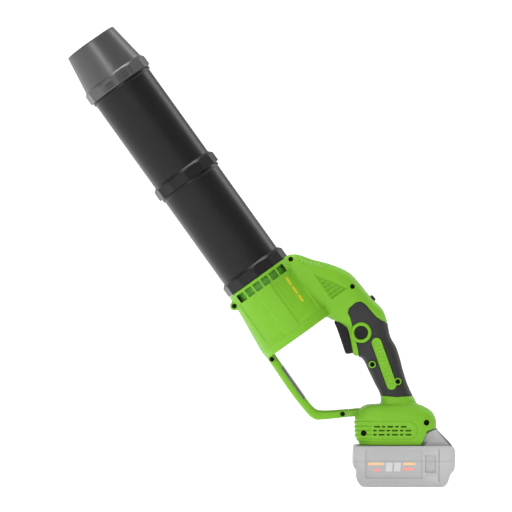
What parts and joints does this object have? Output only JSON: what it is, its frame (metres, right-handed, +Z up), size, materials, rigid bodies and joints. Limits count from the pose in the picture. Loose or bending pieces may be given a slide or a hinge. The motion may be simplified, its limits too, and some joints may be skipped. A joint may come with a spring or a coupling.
{
  "type": "leaf blower",
  "caption": "Cordless leaf blower with a stepped straight tube, clamshell body, trigger grip with a guard bar, and a slide-on battery pack as its foot.",
  "frame": {"origin": "centre of the battery pack's flat bottom", "axes": "+Z up, the tube leans towards -X, the grip is on the +X side, the casing seam is the plane Y = 0"},
  "size_m": [0.4541, 0.0968, 0.5401],
  "materials": {
    "green_plastic": "moulded ABS, fine satin grain",
    "tube_plastic": "satin black plastic",
    "nozzle_plastic": "satin dark grey plastic",
    "grip_rubber": "soft matte overmould",
    "black_plastic": "fine matte black",
    "label_film": "plain dark grey film",
    "pack_plastic": "pale grey plastic",
    "pack_button": "grey plastic",
    "bright_steel": "bright steel",
    "screw_steel": "black oxide",
    "blade_brass": "plated brass",
    "circuit_board": "green solder mask",
    "sink_alloy": "extruded aluminium",
    "cell_sleeve": "blue shrink sleeve over the cell",
    "lead_sleeve": "red silicone sleeve"
  },
  "bodies": {
    "body": {"housing_left": "green_plastic", "housing_right": "green_plastic", "guard_left": "green_plastic", "guard_right": "green_plastic", "air_duct": "green_plastic", "grip_rubber_left": "grip_rubber", "grip_rubber_right": "grip_rubber", "intake_grille": "black_plastic", "motor_mount": "black_plastic", "tail_cone": "black_plastic", "main_switch": "black_plastic", "boost_switch": "black_plastic", "terminal_block": "black_plastic", "guard_label": "label_film", "motor_can": "bright_steel", "bearing_rear": "bright_steel", "bearing_front": "bright_steel", "trigger_pin": "bright_steel", "screw_barrel_top": "screw_steel", "screw_barrel_bottom": "screw_steel", "screw_neck": "screw_steel", "screw_guard_top": "screw_steel", "screw_guard_end": "screw_steel", "screw_grip_front": "screw_steel", "screw_grip_rear": "screw_steel", "screw_base_front": "screw_steel", "screw_base_rear": "screw_steel", "terminal_blade_left": "blade_brass", "terminal_blade_right": "blade_brass", "control_board": "circuit_board", "heat_sink": "sink_alloy", "motor_leads": "lead_sleeve"},
    "rotor": {"impeller": "black_plastic", "motor_shaft": "bright_steel"},
    "lower_tube": {"lower_tube": "tube_plastic"},
    "upper_tube": {"upper_tube": "tube_plastic"},
    "nozzle": {"nozzle": "nozzle_plastic"},
    "trigger": {"trigger": "black_plastic"},
    "lock_button": {"lock_button": "black_plastic"},
    "boost_button": {"boost_button": "black_plastic"},
    "battery": {"battery_case": "pack_plastic", "battery_lid": "pack_plastic", "battery_board": "circuit_board", "cell_1_1": "cell_sleeve", "cell_1_2": "cell_sleeve", "cell_1_3": "cell_sleeve", "cell_1_4": "cell_sleeve", "cell_1_5": "cell_sleeve", "cell_2_1": "cell_sleeve", "cell_2_2": "cell_sleeve", "cell_2_3": "cell_sleeve", "cell_2_4": "cell_sleeve", "cell_2_5": "cell_sleeve"},
    "release_button": {"release_button": "pack_button"}
  },
  "joints": [
    {"name": "rotor_spin", "type": "hinge", "parent": "body", "child": "rotor", "pos_m": [-0.1696, 0, 0.2456], "axis": [-0.5824, 0, 0.8129], "continuous": true},
    {"name": "lower_tube_slide", "type": "slide", "parent": "body", "child": "lower_tube", "axis": [-0.5824, 0, 0.8129], "range_m": [0, 0.03]},
    {"name": "upper_tube_slide", "type": "slide", "parent": "lower_tube", "child": "upper_tube", "axis": [-0.5824, 0, 0.8129], "range_m": [0, 0.03]},
    {"name": "nozzle_slide", "type": "slide", "parent": "upper_tube", "child": "nozzle", "axis": [-0.5824, 0, 0.8129], "range_m": [0, 0.03]},
    {"name": "trigger_hinge", "type": "hinge", "parent": "body", "child": "trigger", "pos_m": [-0.07, 0, 0.199], "axis": [0, -1, 0], "range_deg": [0, 12], "stiffness_Nm_per_rad": 0.5, "springref_deg": -6.88},
    {"name": "lock_button_slide", "type": "slide", "parent": "body", "child": "lock_button", "axis": [0, -1, 0], "range_m": [0, 0.004]},
    {"name": "boost_button_press", "type": "slide", "parent": "body", "child": "boost_button", "axis": [-0.753, 0, -0.658], "range_m": [0, 0.0025], "stiffness_N_per_m": 800, "springref_m": -0.0012},
    {"name": "battery_slide", "type": "slide", "parent": "body", "child": "battery", "axis": [1, 0, 0], "range_m": [0, 0.09]},
    {"name": "release_button_press", "type": "slide", "parent": "battery", "child": "release_button", "axis": [-0.7375, 0, -0.6753], "range_m": [0, 0.003], "stiffness_N_per_m": 600, "springref_m": -0.0012}
  ]
}
